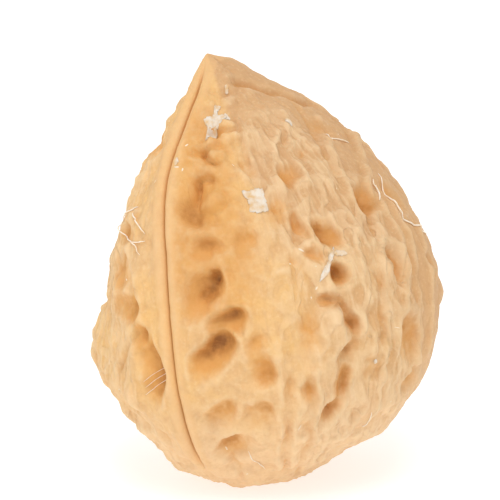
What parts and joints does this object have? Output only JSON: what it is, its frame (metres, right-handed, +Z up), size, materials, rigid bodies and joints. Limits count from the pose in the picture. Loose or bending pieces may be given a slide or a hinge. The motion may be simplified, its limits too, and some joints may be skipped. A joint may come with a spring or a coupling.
{
  "type": "walnut in its shell",
  "caption": "Whole closed walnut in its pitted two-valved shell, pointed at the tip, leaning slightly as it rests on a small flat spot on its base.",
  "frame": {"origin": "middle of the bounding box, in the plane of the flat spot that the nut rests on", "axes": "+Z up from the flat spot towards the pointed tip, -Y towards the front seam, +X towards the full right cheek; the nut's own axis leans 8.3 degrees to -X and 5.4 degrees to -Y"},
  "size_m": [0.0316, 0.0342, 0.0399],
  "materials": {
    "shell": "dry matt nut shell, light tan with orange brown pits"
  },
  "bodies": {
    "root": {"walnut": "shell"}
  },
  "joints": []
}
